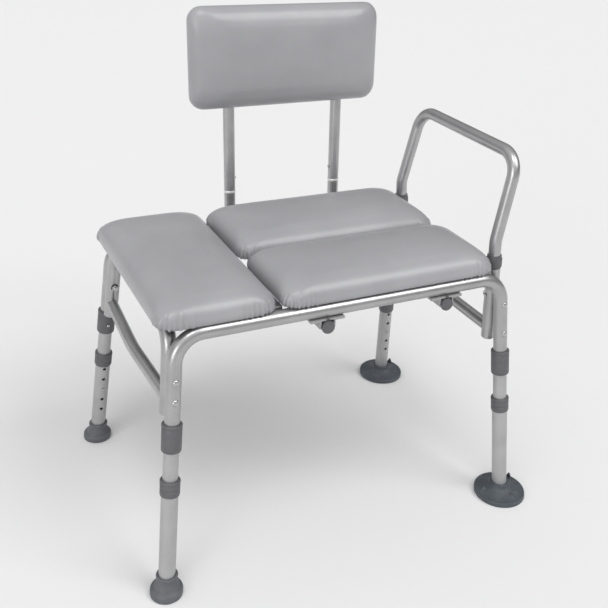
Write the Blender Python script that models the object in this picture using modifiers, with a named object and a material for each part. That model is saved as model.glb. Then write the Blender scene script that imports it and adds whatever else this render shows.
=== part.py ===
"""Padded bath transfer bench: tube frame, four height-adjustable splayed legs, lift-out arm and backrest.

Metres, +Z up, +X towards the arm side, +Y towards the backrest, feet on the plane Z = 0.
"""
import math

import bmesh
import bpy
from mathutils import Matrix, Quaternion, Vector

# ---- driving dimensions -------------------------------------------------------------------------
GAP = 0.0003                # clearance kept between two pieces that touch
HALF_WIDTH = 0.306          # leg axis to the centre plane, at rail height
HALF_DEPTH = 0.185          # rail axis to the centre plane
RAIL_Z = 0.4625             # rail axis above the floor
SPLAY_X = 0.041             # how far each foot stands out sideways from its rail corner
SPLAY_Y = 0.054             # and how far forwards or backwards

FRAME_R = 0.0127            # 25.4 mm frame tube
LOWER_R = 0.0143            # 28.6 mm lower leg tube
LOWER_BORE_R = 0.0130
INNER_WALL = 0.0017         # wall of the upper leg section
ARM_R = 0.0111              # 22.2 mm armrest and backrest tube
BRACE_R = 0.0111            # 22.2 mm lower brace
FRAME_BEND = 0.050          # bend radius of the frame tubes, to the tube's axis
SIDE_BEND = 0.045

# stations along a leg's axis, measured down from the rail corner
FRAME_END = 0.158
UPPER_COLLAR = (0.147, 0.1955)
INNER_TUBE = (FRAME_END + GAP, 0.395)
LOWER_COLLAR = (0.2475, 0.2765)
LOWER_TUBE_TOP = 0.2505
LOWER_TUBE_FOOT = 0.0095    # lower tube's end above the floor, along the leg
HOLE_PITCH = 0.0254
TOP_HOLE = 0.2820
HOLES = 5
BUTTON_HOLE = 2             # the button sits in the third hole from the top
UPPER_BUTTON_AT = 0.174
SIDE_LEG_END = 0.142
SIDE_POST = (0.02, 0.20)    # stretch of a left leg that the brace is coped to
COLLAR_R = 0.0170
COLLAR_LIP = 0.0015         # rounding of a collar's edges

BUTTON_R = 0.0030
BUTTON_DOME = 0.0012
BUTTON_HOLE_R = 0.0034
BUTTON_HOLE_SIDES = 12
SLOT_HALF = 0.0040          # half the width of the hidden slot a button's stem reaches into
SLOT_PAST = 0.001           # how far a slot runs past its button
CUT_REACH = 0.030           # how far a hole or slot cutter reaches out from a tube's axis
# inner and outer end of each kind of button, from the tube's axis
COLLAR_BUTTON = (0.0105, 0.0190)
HEIGHT_BUTTON = (0.0116, 0.0165)
ARM_BUTTON = (0.0096, 0.0152)
BACK_BUTTON = (0.0076, 0.0136)
HEIGHT_TRAVEL = 2 * HOLE_PITCH

TIP_RIM_R = 0.028
TIP_HEIGHT = 0.038
CUP_R = 0.050
CUP_HEIGHT = 0.034
BOOT_R = 0.0180             # top of a rubber tip or suction cup
FOOT_BORE_R = LOWER_R + 0.0006      # a leaning tube is slightly oval where a level plane cuts it
SOCKET_FLOOR = LOWER_TUBE_FOOT - 0.0030     # below the tube's lowest edge

BRACE_Z = 0.346
BRACE_BOW = 0.008           # how far the middle of the left brace stands outside its ends
BRACE_BEND = 0.50
SOCKET_Y = 0.1622
SOCKET_Z = (0.324, 0.487)
SOCKET_BORE_R = 0.0115
SOCKET_FLOOR_THICK = 0.003
SOCKET_POST_Z = (0.440, 0.260)      # stretch of an arm socket that the brace is coped to
ARM_COLLAR_Z = (0.4725, 0.498)
ARM_COLLAR_R = 0.0145
ARM_END_Z = 0.350
ARM_BEND_Z = 0.525
ARM_TOP = (0.3275, 0.154, 0.677)
ARM_BEND = 0.042
ARM_BUTTON_Z = 0.418
ARM_SLOT_DEPTH = 0.0065     # from the tube's axis to the floor of its slot

PAD_BOTTOM = RAIL_Z + FRAME_R + GAP
PAD_THICK = 0.046
PAD_BOARD = 0.009
PAD_CORNER = 0.029
PAD_EDGE = 0.017
BOARD_INSET = 0.012         # side of a pad to the pocket for its board
BOARD_PLAY = 0.0005
# name: (low x, high x, low y, high y)
SEAT_PADS = {
    "transfer": (-0.338, -0.1335, -0.199, 0.199),
    "front": (-0.1275, 0.288, -0.199, -0.0085),
    "back": (-0.1275, 0.288, -0.0025, 0.199),
}
CROSS_BARS = {"left": -0.1300, "right": 0.2500}
CROSS_BAR = 0.020
CROSS_BAR_EDGE = 0.002

BACK_X = 0.068              # centre of the two backrest posts, towards the arm side
BACK_HALF = 0.1165          # post axis to the backrest's centre
BACK_TILT = math.radians(4.0)
BACK_TUBE_Z = 0.4351        # axis of the tubes under the seat
BACK_CORNER_Y = 0.2434
BACK_BEND = 0.055
BACK_RING_Z = 0.515
BACK_FRONT_Y = -HALF_DEPTH - FRAME_R + 0.0005       # front end of the tubes under the seat
SPIGOT_R = 0.0093
SPIGOT_LONG = 0.090
SPIGOT_SHOULDER = 0.0008
SPIGOT_SLOT_DEPTH = 0.0045
POST_BORE_R = 0.0096
POST_BORE_SPARE = 0.008     # bore left above the spigot
POST_TOP_Z = 0.835
BACK_BUTTON_Z = 0.541
BACK_PAD = (0.396, 0.192)   # width, height
BACK_PAD_THICK = 0.046
BACK_PAD_X = 0.061          # centre of the backrest pad
BACK_PAD_Z = 0.777          # centre of the backrest pad
BRACKET = (0.063, 0.0254, 0.003)    # width, depth and thickness of metal

SIDES = 20                  # facets round a tube
BEND_STEPS = 7

CORNERS = {"front_left": (-1, -1), "front_right": (1, -1), "back_left": (-1, 1), "back_right": (1, 1)}
MODEL_SHIFT_X = -(CUP_R - TIP_RIM_R) / 2     # puts the origin at the middle of the bounding box

# ---- scene and materials ------------------------------------------------------------------------
for old in list(bpy.data.objects):
    bpy.data.objects.remove(old, do_unlink=True)

PARTS = bpy.data.collections.new("bath_transfer_bench")
CUTTERS = bpy.data.collections.new("cutters")
for group in (PARTS, CUTTERS):
    bpy.context.scene.collection.children.link(group)


def make_material(name, color, roughness, metallic=0.0):
    material = bpy.data.materials.new(name)
    material.use_nodes = True
    shader = material.node_tree.nodes["Principled BSDF"]
    shader.inputs["Base Color"].default_value = (*color, 1.0)
    shader.inputs["Roughness"].default_value = roughness
    shader.inputs["Metallic"].default_value = metallic
    return material


ALUMINIUM = make_material("satin_aluminium", (0.62, 0.62, 0.63), 0.35, 1.0)
PALE_ALUMINIUM = make_material("matt_aluminium", (0.68, 0.68, 0.68), 0.50, 1.0)
STEEL = make_material("steel", (0.60, 0.60, 0.60), 0.25, 1.0)
VINYL = make_material("grey_vinyl", (0.38, 0.38, 0.40), 0.45)
BOARD = make_material("board", (0.12, 0.11, 0.10), 0.80)
COLLAR_GREY = make_material("collar_plastic", (0.15, 0.155, 0.17), 0.50)
RUBBER = make_material("grey_rubber", (0.13, 0.14, 0.155), 0.65)


# ---- modelling helpers --------------------------------------------------------------------------
def add_object(name, data, material, group=None):
    data.materials.clear()
    data.materials.append(material)
    item = bpy.data.objects.new(name, data)
    (group or PARTS).objects.link(item)
    return item


def as_cutter(item):
    """Keep a cutting shape out of the model, drawn as wires."""
    PARTS.objects.unlink(item)
    CUTTERS.objects.link(item)
    item.hide_render = True
    item.display_type = "WIRE"
    return item


def smooth(mesh):
    mesh.shade_smooth()
    mesh.set_sharp_from_angle(angle=math.radians(35))


def rounded_path(corners, radius, steps=BEND_STEPS):
    """The polyline through corners with each inner corner turned into an arc."""
    points = [Vector(corners[0])]
    for before, corner, after in zip(corners, corners[1:], corners[2:]):
        corner = Vector(corner)
        back = (Vector(before) - corner).normalized()
        ahead = (Vector(after) - corner).normalized()
        half = back.angle(ahead) / 2
        centre = corner + (back + ahead).normalized() * radius / math.sin(half)
        arm = corner + back * radius / math.tan(half) - centre
        axis = back.cross(ahead).normalized()
        for step in range(steps + 1):
            turn = Quaternion(axis, -(math.pi - 2 * half) * step / steps)
            points.append(centre + turn @ arm)
    points.append(Vector(corners[-1]))
    return points


def tube(name, points, radius, material, scales=None, sides=SIDES):
    """A solid round bar along a polyline, as a curve object."""
    curve = bpy.data.curves.new(name, "CURVE")
    curve.dimensions = "3D"
    curve.bevel_depth = radius
    curve.bevel_resolution = (sides - 4) // 2
    curve.use_fill_caps = True
    spline = curve.splines.new("POLY")
    spline.points.add(len(points) - 1)
    for index, point in enumerate(points):
        spline.points[index].co = (*point, 1.0)
        spline.points[index].radius = scales[index] if scales else 1.0
    return add_object(name, curve, material)


def as_mesh(item):
    """Turn a curve, or an object with modifiers, into a plain welded mesh object."""
    evaluated = item.evaluated_get(bpy.context.evaluated_depsgraph_get())
    mesh = bpy.data.meshes.new_from_object(evaluated)
    work = bmesh.new()
    work.from_mesh(mesh)
    bmesh.ops.remove_doubles(work, verts=work.verts, dist=0.00001)
    bmesh.ops.recalc_face_normals(work, faces=work.faces)
    work.to_mesh(mesh)
    work.free()
    name = item.name
    material = item.data.materials[0]
    matrix = item.matrix_world.copy()
    bpy.data.objects.remove(item, do_unlink=True)
    solid = add_object(name, mesh, material)
    solid.name = name
    solid.matrix_world = matrix
    smooth(mesh)
    return solid


def turned(name, profile, material, steps=SIDES):
    """A body turned about Z from a closed profile of (radius, height) points."""
    mesh = bpy.data.meshes.new(name)
    count = len(profile)
    closed = profile[0][0] > 0 or profile[-1][0] > 0
    edges = [(i, i + 1) for i in range(count - 1)]
    if closed:
        edges.append((count - 1, 0))
    mesh.from_pydata([(radius, 0.0, height) for radius, height in profile], edges, [])
    item = add_object(name, mesh, material)
    screw = item.modifiers.new("turn", "SCREW")
    screw.steps = steps
    screw.render_steps = steps
    screw.use_merge_vertices = True
    screw.merge_threshold = 0.00001
    screw.use_normal_calculate = True
    bpy.context.view_layer.update()
    return as_mesh(item)


def ring(name, outer, inner, low, high, material, steps=SIDES):
    return turned(name, [(outer, high), (outer, low), (inner, low), (inner, high)], material, steps)


def stand(item, origin, up, facing=None):
    """Put an object's origin at a point, with its Z along up and its X towards facing."""
    up = Vector(up).normalized()
    facing = Vector(facing or (1.0, 0.0, 0.0))
    side = (facing - up * facing.dot(up)).normalized()
    turn = Matrix((side, up.cross(side), up)).transposed().to_4x4()
    item.matrix_world = Matrix.Translation(origin) @ turn
    bpy.context.view_layer.update()
    return item


def box(name, size, centre, material):
    mesh = bpy.data.meshes.new(name)
    work = bmesh.new()
    bmesh.ops.create_cube(work, size=1.0, matrix=Matrix.Diagonal((*size, 1.0)))
    work.to_mesh(mesh)
    work.free()
    item = add_object(name, mesh, material)
    item.location = centre
    bpy.context.view_layer.update()
    return item


def rod(name, radius, start, end, sides=SIDES):
    """A straight cylinder between two points, used to cut bores and holes."""
    start, end = Vector(start), Vector(end)
    mesh = bpy.data.meshes.new(name)
    work = bmesh.new()
    length = (end - start).length
    bmesh.ops.create_cone(work, cap_ends=True, segments=sides, radius1=radius, radius2=radius, depth=length)
    work.to_mesh(mesh)
    work.free()
    item = add_object(name, mesh, STEEL)
    across = Vector((1.0, 0.0, 0.0)) if abs((end - start).normalized().x) < 0.9 else Vector((0.0, 1.0, 0.0))
    stand(item, (start + end) / 2, end - start, across)
    return as_cutter(item)


def combine(item, tools, operation="DIFFERENCE"):
    """Apply one exact Boolean per tool and keep the result as a mesh."""
    for tool in tools:
        step = item.modifiers.new(tool.name, "BOOLEAN")
        step.operation = operation
        step.solver = "EXACT"
        step.object = tool
    bpy.context.view_layer.update()
    return as_mesh(item)


# ---- leg geometry -------------------------------------------------------------------------------
def corner_point(corner):
    side, face = CORNERS[corner]
    return Vector((side * HALF_WIDTH, face * HALF_DEPTH, RAIL_Z))


def leg_direction(corner):
    """Unit vector down a leg."""
    side, face = CORNERS[corner]
    return Vector((side * SPLAY_X, face * SPLAY_Y, -RAIL_Z)).normalized()


def leg_point(corner, station):
    return corner_point(corner) + leg_direction(corner) * station


def inward(corner):
    """The direction square to a leg that points in Y to the opposite frame."""
    face = CORNERS[corner][1]
    down = leg_direction(corner)
    direct = Vector((0.0, -face, 0.0))
    return (direct - down * direct.dot(down)).normalized()


LEG_LONG = Vector((SPLAY_X, SPLAY_Y, RAIL_Z)).length
HEIGHT_STATION = TOP_HOLE + BUTTON_HOLE * HOLE_PITCH        # of the height button


# ---- frame --------------------------------------------------------------------------------------
def frame_tube(name, left, right):
    corners = [leg_point(left, FRAME_END), corner_point(left), corner_point(right), leg_point(right, FRAME_END)]
    return tube(name, rounded_path(corners, FRAME_BEND), FRAME_R, ALUMINIUM)


def side_frame():
    """The inverted U whose legs lie against the two left legs."""
    offset = 2 * FRAME_R + GAP
    corners = []
    for corner in ("front_left", "back_left"):
        shift = inward(corner) * offset
        foot = leg_point(corner, SIDE_LEG_END) + shift
        down = leg_direction(corner)
        top = corner_point(corner) + shift
        top -= down * ((top.z - RAIL_Z) / down.z)
        corners.append((foot, top))
    path = [corners[0][0], corners[0][1], corners[1][1], corners[1][0]]
    return tube("left_side_frame", rounded_path(path, SIDE_BEND), FRAME_R, ALUMINIUM)


def lower_brace(name, posts, bow=0.0):
    """A brace coped to the round posts at its two ends, straight or bowed outwards; posts are pairs of axis points."""
    low = posts[0][0].lerp(posts[0][1], (BRACE_Z - posts[0][0].z) / (posts[0][1].z - posts[0][0].z))
    high = posts[1][0].lerp(posts[1][1], (BRACE_Z - posts[1][0].z) / (posts[1][1].z - posts[1][0].z))
    path = [low, high]
    if bow:
        path = rounded_path([low, low.lerp(high, 0.5) - Vector((bow, 0.0, 0.0)), high], BRACE_BEND)
    brace = as_mesh(tube(name, path, BRACE_R, ALUMINIUM))
    tools = [rod(name + "_cope", FRAME_R + GAP, *ends) for ends in posts]
    return combine(brace, tools)


def side_frame_posts():
    posts = []
    for corner in ("front_left", "back_left"):
        shift = inward(corner) * (2 * FRAME_R + GAP)
        posts.append(tuple(leg_point(corner, station) + shift for station in SIDE_POST))
    return posts


def seat_cross_bar(name, x):
    long = 2 * (HALF_DEPTH - FRAME_R - GAP)
    bar = box(name, (CROSS_BAR, long, CROSS_BAR), (x, 0.0, PAD_BOTTOM - GAP - CROSS_BAR / 2), ALUMINIUM)
    bevel = bar.modifiers.new("edges", "BEVEL")
    bevel.width = CROSS_BAR_EDGE
    bevel.segments = 2
    bevel.limit_method = "ANGLE"
    bpy.context.view_layer.update()
    return as_mesh(bar)


# ---- legs ---------------------------------------------------------------------------------------
def upper_collar(corner):
    top, bottom = UPPER_COLLAR
    long = bottom - top
    taper = 0.004
    bore = FRAME_R + GAP
    profile = [(COLLAR_R - COLLAR_LIP, 0.0), (COLLAR_R, -COLLAR_LIP), (COLLAR_R, -long + taper),
               (COLLAR_R - COLLAR_LIP, -long), (bore, -long), (bore, 0.0)]
    collar = turned("upper_collar_" + corner, profile, COLLAR_GREY)
    stand(collar, leg_point(corner, top), -leg_direction(corner), inward(corner))
    return combine(collar, [button_hole(leg_point(corner, UPPER_BUTTON_AT), inward(corner))])


def button_hole(seat, facing):
    """The cutter for a round hole on one side of a tube, from a point on its axis."""
    return rod("button_hole", BUTTON_HOLE_R, seat, seat + facing * CUT_REACH, BUTTON_HOLE_SIDES)


def slot_cutter(name, start, end, facing):
    """A round-ended slot between two points, cut from the facing side to the depth of those points."""
    facing = Vector(facing)
    along = (end - start).normalized()
    across = along.cross(facing).normalized()
    outline = []
    for centre, turn in ((end, 0.0), (start, math.pi)):
        for step in range(7):
            angle = turn + math.pi * step / 6
            outline.append(centre + (across * math.cos(angle) + along * math.sin(angle)) * SLOT_HALF)
    mesh = bpy.data.meshes.new(name)
    work = bmesh.new()
    face = work.faces.new([work.verts.new(point) for point in outline])
    walls = bmesh.ops.extrude_face_region(work, geom=[face])
    moved = [part for part in walls["geom"] if isinstance(part, bmesh.types.BMVert)]
    bmesh.ops.translate(work, vec=facing * CUT_REACH, verts=moved)
    bmesh.ops.recalc_face_normals(work, faces=work.faces)
    work.to_mesh(mesh)
    work.free()
    return as_cutter(add_object(name, mesh, STEEL))


def inner_leg_tube(corner):
    """The leg's upper section: a hollow tube, slotted where the height button reaches in."""
    top, bottom = INNER_TUBE
    pipe = ring("inner_leg_tube_" + corner, FRAME_R, FRAME_R - INNER_WALL, top - bottom, 0.0, PALE_ALUMINIUM)
    stand(pipe, leg_point(corner, top), -leg_direction(corner), inward(corner))
    facing = inward(corner)
    slot = slot_cutter("height_slot", leg_point(corner, HEIGHT_STATION - HEIGHT_TRAVEL),
                       leg_point(corner, HEIGHT_STATION + HEIGHT_TRAVEL), facing)
    return combine(pipe, [slot, button_hole(leg_point(corner, UPPER_BUTTON_AT), facing)])


def lower_collar(corner):
    top, bottom = LOWER_COLLAR
    long = bottom - top
    seat = LOWER_TUBE_TOP - top - GAP
    bore = LOWER_R + GAP
    profile = [(COLLAR_R - COLLAR_LIP, 0.0), (COLLAR_R, -COLLAR_LIP), (COLLAR_R, COLLAR_LIP - long),
               (COLLAR_R - COLLAR_LIP, -long), (bore, -long), (bore, -seat), (LOWER_BORE_R, -seat),
               (LOWER_BORE_R, 0.0)]
    collar = turned("lower_collar_" + corner, profile, COLLAR_GREY)
    return stand(collar, leg_point(corner, top), -leg_direction(corner), inward(corner))


def lower_leg_tube(corner):
    bottom = LEG_LONG - LOWER_TUBE_FOOT
    long = bottom - LOWER_TUBE_TOP
    pipe = ring("lower_leg_tube_" + corner, LOWER_R, LOWER_BORE_R, -long, 0.0, PALE_ALUMINIUM)
    stand(pipe, leg_point(corner, LOWER_TUBE_TOP), -leg_direction(corner), inward(corner))
    stations = [TOP_HOLE + index * HOLE_PITCH for index in range(HOLES)]
    return combine(pipe, [button_hole(leg_point(corner, station), inward(corner)) for station in stations])


def lean(item, corner):
    """Shear a foot turned about the vertical so that it follows its leg and stays flat on the floor."""
    side, face = CORNERS[corner]
    shear = Matrix.Identity(4)
    shear[0][2] = -side * SPLAY_X / RAIL_Z
    shear[1][2] = -face * SPLAY_Y / RAIL_Z
    item.data.transform(shear)
    item.location = (side * (HALF_WIDTH + SPLAY_X), face * (HALF_DEPTH + SPLAY_Y), 0.0)
    bpy.context.view_layer.update()
    return item


def rubber_tip(corner):
    profile = [(BOOT_R, TIP_HEIGHT), (0.0184, 0.024), (0.0205, 0.015), (0.0245, 0.009), (TIP_RIM_R, 0.006),
               (TIP_RIM_R, 0.002), (0.0265, 0.0), (0.0, 0.0), (0.0, SOCKET_FLOOR), (FOOT_BORE_R, SOCKET_FLOOR),
               (FOOT_BORE_R, TIP_HEIGHT)]
    tip = turned("rubber_tip_" + corner, profile, RUBBER)
    return lean(tip, corner)


def suction_cup(corner):
    """A wide cup, hollow below, with a boot for the leg."""
    profile = [(BOOT_R, CUP_HEIGHT), (0.0186, 0.025), (0.0220, 0.020), (0.0300, 0.0165), (0.0400, 0.0110),
               (0.0470, 0.0045), (CUP_R, 0.0015), (CUP_R, 0.0), (0.0475, 0.0), (0.0420, 0.0035),
               (0.0300, 0.0040), (0.0, 0.0040), (0.0, SOCKET_FLOOR), (FOOT_BORE_R, SOCKET_FLOOR),
               (FOOT_BORE_R, CUP_HEIGHT)]
    cup = turned("suction_cup_" + corner, profile, RUBBER, 28)
    return lean(cup, corner)


def button(name, seat, facing, ends):
    """A snap button: a short stem with a domed end, its two ends given as distances from the tube's axis."""
    inner, outer = ends
    long = outer - inner
    profile = [(0.0, long), (BUTTON_R * 0.6, long - BUTTON_DOME * 0.25), (BUTTON_R, long - BUTTON_DOME),
               (BUTTON_R, 0.0), (0.0, 0.0)]
    item = turned(name, profile, STEEL, BUTTON_HOLE_SIDES)
    facing = Vector(facing)
    across = Vector((0.0, 1.0, 0.0)) if abs(facing.y) < 0.9 else Vector((1.0, 0.0, 0.0))
    return stand(item, seat + facing * inner, facing, across)


def make_leg(corner):
    upper_collar(corner)
    inner_leg_tube(corner)
    lower_collar(corner)
    lower_leg_tube(corner)
    if CORNERS[corner][0] > 0:
        suction_cup(corner)
    else:
        rubber_tip(corner)
    button("collar_button_" + corner, leg_point(corner, UPPER_BUTTON_AT), inward(corner), COLLAR_BUTTON)
    button("height_button_" + corner, leg_point(corner, HEIGHT_STATION), inward(corner), HEIGHT_BUTTON)


# ---- armrest ------------------------------------------------------------------------------------
ARM_UP = Vector((-SPLAY_X, 0.0, RAIL_Z)).normalized()
ARM_INBOARD = Vector((-RAIL_Z, 0.0, -SPLAY_X)).normalized()     # square to the sockets, towards the seat


def socket_point(face, z):
    """A point on the axis of the front (-1) or back (+1) arm socket."""
    return Vector((HALF_WIDTH + SPLAY_X * (RAIL_Z - z) / RAIL_Z, face * SOCKET_Y, z))


def arm_socket(place, face):
    low, high = SOCKET_Z
    long = (socket_point(face, high) - socket_point(face, low)).length
    edge = 0.002
    profile = [(FRAME_R, long), (FRAME_R, edge), (FRAME_R - edge, 0.0), (0.0, 0.0), (0.0, SOCKET_FLOOR_THICK),
               (SOCKET_BORE_R, SOCKET_FLOOR_THICK), (SOCKET_BORE_R, long)]
    socket = turned("arm_socket_" + place, profile, ALUMINIUM)
    stand(socket, socket_point(face, low), ARM_UP)
    return combine(socket, [button_hole(socket_point(face, ARM_BUTTON_Z), ARM_INBOARD)])


def arm_collar(place, face):
    low, high = ARM_COLLAR_Z
    long = (socket_point(face, high) - socket_point(face, low)).length
    step = (socket_point(face, SOCKET_Z[1]) - socket_point(face, low)).length + GAP
    wide = FRAME_R + GAP
    narrow = ARM_R + GAP
    edge = 0.0006
    profile = [(ARM_COLLAR_R - COLLAR_LIP, long), (ARM_COLLAR_R, long - COLLAR_LIP),
               (ARM_COLLAR_R, 2 * COLLAR_LIP), (wide + edge, 0.0), (wide, 0.0), (wide, step), (narrow, step),
               (narrow, long)]
    collar = turned("arm_collar_" + place, profile, COLLAR_GREY)
    return stand(collar, socket_point(face, low), ARM_UP)


def armrest():
    top_x, top_y, top_z = ARM_TOP
    path = []
    for face in (-1, 1):
        top = Vector((top_x, face * top_y, top_z))
        ends = [socket_point(face, ARM_END_Z), socket_point(face, ARM_BEND_Z), top]
        path += ends if face < 0 else ends[::-1]
    rail = as_mesh(tube("armrest_tube", rounded_path(path, ARM_BEND), ARM_R, ALUMINIUM))
    deep = ARM_INBOARD * ARM_SLOT_DEPTH
    slots = []
    for face in (-1, 1):
        start = socket_point(face, ARM_END_Z - CUT_REACH) + deep
        end = socket_point(face, ARM_BUTTON_Z + SLOT_PAST) + deep
        slots.append(slot_cutter("arm_slot", start, end, ARM_INBOARD))
    return combine(rail, slots)


# ---- cushions -----------------------------------------------------------------------------------
def cushion(name, width, depth, thick):
    """A rounded block, its flat underside at Z = 0, with a pocket for its base board."""
    mesh = bpy.data.meshes.new(name)
    work = bmesh.new()
    bmesh.ops.create_cube(work, size=1.0, matrix=Matrix.Diagonal((width, depth, thick, 1.0)))
    bmesh.ops.translate(work, vec=(0.0, 0.0, thick / 2), verts=work.verts)
    uprights = [edge for edge in work.edges if abs(edge.verts[0].co.z - edge.verts[1].co.z) > thick / 2]
    bmesh.ops.bevel(work, geom=uprights, offset=PAD_CORNER, segments=5, profile=0.5, affect="EDGES")
    rim = [edge for edge in work.edges if min(vert.co.z for vert in edge.verts) > thick - 0.0001]
    bmesh.ops.bevel(work, geom=rim, offset=PAD_EDGE, segments=4, profile=0.5, affect="EDGES")
    work.to_mesh(mesh)
    work.free()
    item = add_object(name, mesh, VINYL)
    cut = 2 * BOARD_INSET
    pocket = box("pocket", (width - cut, depth - cut, 2 * (PAD_BOARD + GAP)), (0.0, 0.0, 0.0), STEEL)
    return combine(item, [round_uprights(as_cutter(pocket), PAD_CORNER - BOARD_INSET)])


def round_uprights(item, radius):
    """Round the four upright edges of a block."""
    work = bmesh.new()
    work.from_mesh(item.data)
    uprights = [e for e in work.edges if (e.verts[0].co - e.verts[1].co).normalized().z ** 2 > 0.5]
    bmesh.ops.bevel(work, geom=uprights, offset=radius, segments=4, profile=0.5, affect="EDGES")
    work.to_mesh(item.data)
    work.free()
    return item


def base_board(name, width, depth):
    inset = BOARD_INSET + BOARD_PLAY
    item = box(name, (width - 2 * inset, depth - 2 * inset, PAD_BOARD - GAP), (0.0, 0.0, 0.0), BOARD)
    return round_uprights(item, PAD_CORNER - inset)


def seat_pad(name, low_x, high_x, low_y, high_y):
    width, depth = high_x - low_x, high_y - low_y
    centre = Vector(((low_x + high_x) / 2, (low_y + high_y) / 2, PAD_BOTTOM))
    pad = cushion(name + "_seat_cushion", width, depth, PAD_THICK)
    pad.location = centre
    board = base_board(name + "_seat_board", width, depth)
    board.location = centre + Vector((0.0, 0.0, PAD_BOARD / 2))


# ---- backrest -----------------------------------------------------------------------------------
BACK_UP = Vector((0.0, math.sin(BACK_TILT), math.cos(BACK_TILT)))
BACK_SIDES = {"left": -1, "right": 1}


def back_point(side, z):
    """A point on a backrest post's axis."""
    return Vector((BACK_X + side * BACK_HALF, BACK_CORNER_Y + (z - BACK_TUBE_Z) * math.tan(BACK_TILT), z))


def back_lower_tube(name, side):
    """The tube under the seat, bent up behind it, with a thinner slotted spigot at its top."""
    front = Vector((BACK_X + side * BACK_HALF, BACK_FRONT_Y, BACK_TUBE_Z))
    ring_at = back_point(side, BACK_RING_Z)
    bend = rounded_path([front, back_point(side, BACK_TUBE_Z), ring_at], BACK_BEND)
    path = bend + [ring_at + BACK_UP * SPIGOT_SHOULDER, ring_at + BACK_UP * SPIGOT_LONG]
    scales = [1.0] * len(bend) + [SPIGOT_R / ARM_R] * 2
    item = as_mesh(tube(name, path, ARM_R, ALUMINIUM, scales))
    facing = Vector((-side, 0.0, 0.0))
    deep = facing * SPIGOT_SLOT_DEPTH
    start = back_point(side, BACK_BUTTON_Z - SLOT_PAST) + deep
    end = ring_at + BACK_UP * (SPIGOT_LONG + CUT_REACH) + deep
    return combine(item, [slot_cutter("spigot_slot", start, end, facing)])


def back_post(name, side):
    foot = back_point(side, BACK_RING_Z) + BACK_UP * (SPIGOT_SHOULDER + GAP)
    top = back_point(side, POST_TOP_Z)
    item = as_mesh(tube(name, [foot, top], ARM_R, ALUMINIUM))
    bore_top = foot + BACK_UP * (SPIGOT_LONG + POST_BORE_SPARE)
    bore = rod("post_bore", POST_BORE_R, foot - BACK_UP * CUT_REACH, bore_top)
    return combine(item, [bore, button_hole(back_point(side, BACK_BUTTON_Z), Vector((-side, 0.0, 0.0)))])


def tube_plug(name, side):
    """The round cap that closes the front end of a tube under the seat."""
    profile = [(0.0, 0.0050), (0.0080, 0.0050), (0.0110, 0.0038), (0.0116, 0.0020), (0.0116, 0.0), (0.0, 0.0)]
    plug = turned(name, profile, COLLAR_GREY)
    end = Vector((BACK_X + side * BACK_HALF, BACK_FRONT_Y - GAP, BACK_TUBE_Z))
    return stand(plug, end, (0.0, -1.0, 0.0))


def back_bracket(name, side):
    """A shallow channel between the front rail and the tube that passes below it."""
    wide, deep, thick = BRACKET
    top = RAIL_Z - FRAME_R - GAP
    flange_in = ARM_R + GAP
    flange_out = flange_in + thick
    drop = top - BACK_TUBE_Z + thick
    outline = [(-wide / 2, 0), (wide / 2, 0), (wide / 2, -thick), (flange_out, -thick), (flange_out, -drop),
               (flange_in, -drop), (flange_in, -thick), (-flange_in, -thick), (-flange_in, -drop),
               (-flange_out, -drop), (-flange_out, -thick), (-wide / 2, -thick)]
    curve = bpy.data.curves.new(name, "CURVE")
    curve.dimensions = "2D"
    curve.fill_mode = "BOTH"
    curve.extrude = deep / 2
    spline = curve.splines.new("POLY")
    spline.points.add(len(outline) - 1)
    for index, (x, z) in enumerate(outline):
        spline.points[index].co = (x, z, 0.0, 1.0)
    spline.use_cyclic_u = True
    item = add_object(name, curve, ALUMINIUM)
    item.location = (BACK_X + side * BACK_HALF, -HALF_DEPTH + 0.001, top)
    item.rotation_euler = (math.pi / 2, 0.0, 0.0)
    bpy.context.view_layer.update()
    return as_mesh(item)


def back_pad():
    width, height = BACK_PAD
    face = Vector((0.0, -math.cos(BACK_TILT), math.sin(BACK_TILT)))
    behind = Vector((BACK_PAD_X, back_point(0, BACK_PAD_Z).y, BACK_PAD_Z)) + face * (ARM_R + GAP)
    pad = cushion("backrest_cushion", width, height, BACK_PAD_THICK)
    stand(pad, behind, face)
    board = base_board("backrest_board", width, height)
    stand(board, behind + face * (PAD_BOARD / 2), face)


def make_backrest():
    for place, side in BACK_SIDES.items():
        back_lower_tube("backrest_lower_tube_" + place, side)
        tube_plug("tube_plug_" + place, side)
        back_bracket("backrest_bracket_" + place, side)
        back_post("backrest_post_" + place, side)
        button("backrest_button_" + place, back_point(side, BACK_BUTTON_Z), (-side, 0.0, 0.0), BACK_BUTTON)
    back_pad()


# ---- assembly -----------------------------------------------------------------------------------
frame_tube("front_frame_tube", "front_left", "front_right")
frame_tube("back_frame_tube", "back_left", "back_right")
side_frame()
lower_brace("left_lower_brace", side_frame_posts(), BRACE_BOW)
lower_brace("right_lower_brace", [tuple(socket_point(face, z) for z in SOCKET_POST_Z) for face in (-1, 1)])
for place, x in CROSS_BARS.items():
    seat_cross_bar("seat_cross_bar_" + place, x)
for corner in CORNERS:
    make_leg(corner)
for place, face in (("front", -1), ("back", 1)):
    arm_socket(place, face)
    arm_collar(place, face)
    button("arm_button_" + place, socket_point(face, ARM_BUTTON_Z), ARM_INBOARD, ARM_BUTTON)
armrest()
for pad_name, sides in SEAT_PADS.items():
    seat_pad(pad_name, *sides)
make_backrest()

for item in PARTS.objects:
    item.location.x += MODEL_SHIFT_X
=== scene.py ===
"""Looks of the padded bath transfer bench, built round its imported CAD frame.

Metres, +Z up, +X towards the arm side, +Y towards the backrest, feet on the plane Z = 0.
"""
import math

import bmesh
import bpy
import numpy as np
from mathutils import Matrix, Quaternion, Vector


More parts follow.
